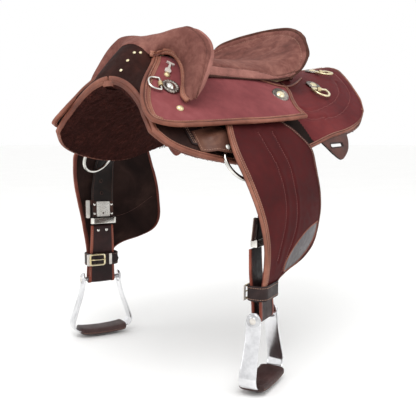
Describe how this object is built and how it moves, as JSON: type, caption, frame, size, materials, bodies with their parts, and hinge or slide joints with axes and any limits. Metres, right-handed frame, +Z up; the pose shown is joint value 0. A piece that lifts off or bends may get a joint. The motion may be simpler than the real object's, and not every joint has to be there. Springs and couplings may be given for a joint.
{
  "type": "half breed saddle",
  "caption": "Hornless half breed riding saddle with padded suede swells and seat, square skirts, fleece panels, swinging fenders and aluminium stirrups.",
  "frame": {"origin": "mid-plane point at the underside of the panels, half way along the saddle, where it rests on the horse's back", "axes": "+Z up, +Y towards the cantle, +X towards the left (near) side of the rider"},
  "size_m": [0.532, 0.7039, 0.669],
  "materials": {
    "seat_suede": "matte",
    "skirt_leather": "matte",
    "panel_fleece": "matte",
    "dark_leather": "satin",
    "tan_leather": "satin",
    "strap_leather": "satin",
    "tree_wood": "matte",
    "nickel_plate": "polished",
    "nickel_wire": "polished",
    "brass_hardware": "satin",
    "antique_concho": "satin",
    "cast_aluminium": "satin",
    "steel_rod": "satin"
  },
  "bodies": {
    "saddle": {"left_skirt": "skirt_leather", "left_panel": "panel_fleece", "left_jockey": "skirt_leather", "left_tree_bar": "tree_wood", "tree_fork": "tree_wood", "pommel_cover": "seat_suede", "left_knee_pad": "seat_suede", "seat": "seat_suede", "cantle": "skirt_leather", "left_stirrup_bar": "steel_rod", "left_rigging_plate": "dark_leather", "left_rear_tab": "dark_leather", "left_front_concho": "antique_concho", "left_t_hook": "nickel_wire", "left_seat_concho": "antique_concho", "left_rear_concho_inner": "antique_concho", "left_rear_concho_outer": "antique_concho", "right_skirt": "skirt_leather", "right_panel": "panel_fleece", "right_jockey": "skirt_leather", "right_tree_bar": "tree_wood", "right_knee_pad": "seat_suede", "right_stirrup_bar": "steel_rod", "right_rigging_plate": "dark_leather", "right_rear_tab": "dark_leather", "right_front_concho": "antique_concho", "right_t_hook": "nickel_wire", "right_seat_concho": "antique_concho", "right_rear_concho_inner": "antique_concho", "right_rear_concho_outer": "antique_concho"},
    "left_hanger_body": {"left_hanger": "strap_leather"},
    "left_fender_body": {"left_fender": "skirt_leather", "left_stirrup_strap": "strap_leather", "left_length_plate": "nickel_plate", "left_lower_leather": "tan_leather", "left_hobble_strap": "dark_leather", "left_hobble_buckle": "brass_hardware", "left_stirrup_bolt": "steel_rod"},
    "left_stirrup_body": {"left_stirrup": "cast_aluminium", "left_tread": "dark_leather"},
    "left_sleeve_body": {"left_sleeve": "nickel_plate"},
    "left_rigging_ring_body": {"left_rigging_ring": "nickel_wire"},
    "left_front_dee_body": {"left_front_dee": "nickel_wire"},
    "left_rear_dee_inner_body": {"left_rear_dee_inner": "nickel_wire"},
    "left_rear_dee_outer_body": {"left_rear_dee_outer": "nickel_wire"},
    "right_hanger_body": {"right_hanger": "strap_leather"},
    "right_fender_body": {"right_fender": "skirt_leather", "right_stirrup_strap": "strap_leather", "right_length_plate": "nickel_plate", "right_lower_leather": "tan_leather", "right_hobble_strap": "dark_leather", "right_hobble_buckle": "brass_hardware", "right_stirrup_bolt": "steel_rod"},
    "right_stirrup_body": {"right_stirrup": "cast_aluminium", "right_tread": "dark_leather"},
    "right_sleeve_body": {"right_sleeve": "nickel_plate"},
    "right_rigging_ring_body": {"right_rigging_ring": "nickel_wire"},
    "right_front_dee_body": {"right_front_dee": "nickel_wire"},
    "right_rear_dee_inner_body": {"right_rear_dee_inner": "nickel_wire"},
    "right_rear_dee_outer_body": {"right_rear_dee_outer": "nickel_wire"}
  },
  "joints": [
    {"name": "left_fender_lift", "type": "hinge", "parent": "saddle", "child": "left_hanger_body", "pos_m": [0.12686, -0.17015, -0.03841], "axis": [0, -0.9842, -0.1772], "range_deg": [0, 3]},
    {"name": "right_fender_lift", "type": "hinge", "parent": "saddle", "child": "right_hanger_body", "pos_m": [-0.12686, -0.17015, -0.03841], "axis": [0, 0.9842, 0.1772], "range_deg": [0, 3]},
    {"name": "left_fender_swing", "type": "hinge", "parent": "left_hanger_body", "child": "left_fender_body", "pos_m": [0.148, -0.15996, -0.06031], "axis": [0.7153, -0.1238, 0.6878], "range_deg": [-5, 5]},
    {"name": "right_fender_swing", "type": "hinge", "parent": "right_hanger_body", "child": "right_fender_body", "pos_m": [-0.148, -0.15996, -0.06031], "axis": [0.7153, 0.1238, -0.6878], "range_deg": [-5, 5]},
    {"name": "left_stirrup_swing", "type": "hinge", "parent": "left_fender_body", "child": "left_stirrup_body", "pos_m": [0.2285, -0.195, -0.4165], "axis": [-0.2924, 0.9563, 0], "range_deg": [-75, 75]},
    {"name": "right_stirrup_swing", "type": "hinge", "parent": "right_fender_body", "child": "right_stirrup_body", "pos_m": [-0.2285, -0.195, -0.4165], "axis": [-0.2924, -0.9563, 0], "range_deg": [-75, 75]},
    {"name": "left_sleeve_slide", "type": "slide", "parent": "left_fender_body", "child": "left_sleeve_body", "axis": [0.0853, 0.0568, 0.9947], "range_m": [0, 0.018]},
    {"name": "right_sleeve_slide", "type": "slide", "parent": "right_fender_body", "child": "right_sleeve_body", "axis": [-0.0853, 0.0568, 0.9947], "range_m": [0, 0.018]},
    {"name": "left_rigging_ring_turn", "type": "hinge", "parent": "saddle", "child": "left_rigging_ring_body", "pos_m": [0.20105, -0.21481, -0.14721], "axis": [0.8579, -0.1465, 0.4924], "continuous": true},
    {"name": "right_rigging_ring_turn", "type": "hinge", "parent": "saddle", "child": "right_rigging_ring_body", "pos_m": [-0.20105, -0.21481, -0.14721], "axis": [0.8579, 0.1465, -0.4924], "continuous": true},
    {"name": "left_front_dee_swing", "type": "hinge", "parent": "saddle", "child": "left_front_dee_body", "pos_m": [0.09831, -0.31101, -0.02017], "axis": [-0.5987, 0.3409, 0.7248], "range_deg": [0, 120]},
    {"name": "right_front_dee_swing", "type": "hinge", "parent": "saddle", "child": "right_front_dee_body", "pos_m": [-0.09831, -0.31101, -0.02017], "axis": [-0.5987, -0.3409, -0.7248], "range_deg": [0, 120]},
    {"name": "left_rear_dee_inner_swing", "type": "hinge", "parent": "saddle", "child": "left_rear_dee_inner_body", "pos_m": [0.06351, 0.21264, 0.03909], "axis": [0, -0.9916, -0.129], "range_deg": [0, 120]},
    {"name": "right_rear_dee_inner_swing", "type": "hinge", "parent": "saddle", "child": "right_rear_dee_inner_body", "pos_m": [-0.06351, 0.21264, 0.03909], "axis": [0, 0.9916, 0.129], "range_deg": [0, 120]},
    {"name": "left_rear_dee_outer_swing", "type": "hinge", "parent": "saddle", "child": "left_rear_dee_outer_body", "pos_m": [0.13139, 0.10772, -0.00862], "axis": [-0.2869, -0.9563, 0.0561], "range_deg": [0, 120]},
    {"name": "right_rear_dee_outer_swing", "type": "hinge", "parent": "saddle", "child": "right_rear_dee_outer_body", "pos_m": [-0.13139, 0.10772, -0.00862], "axis": [-0.2869, 0.9563, -0.0561], "range_deg": [0, 120]}
  ]
}
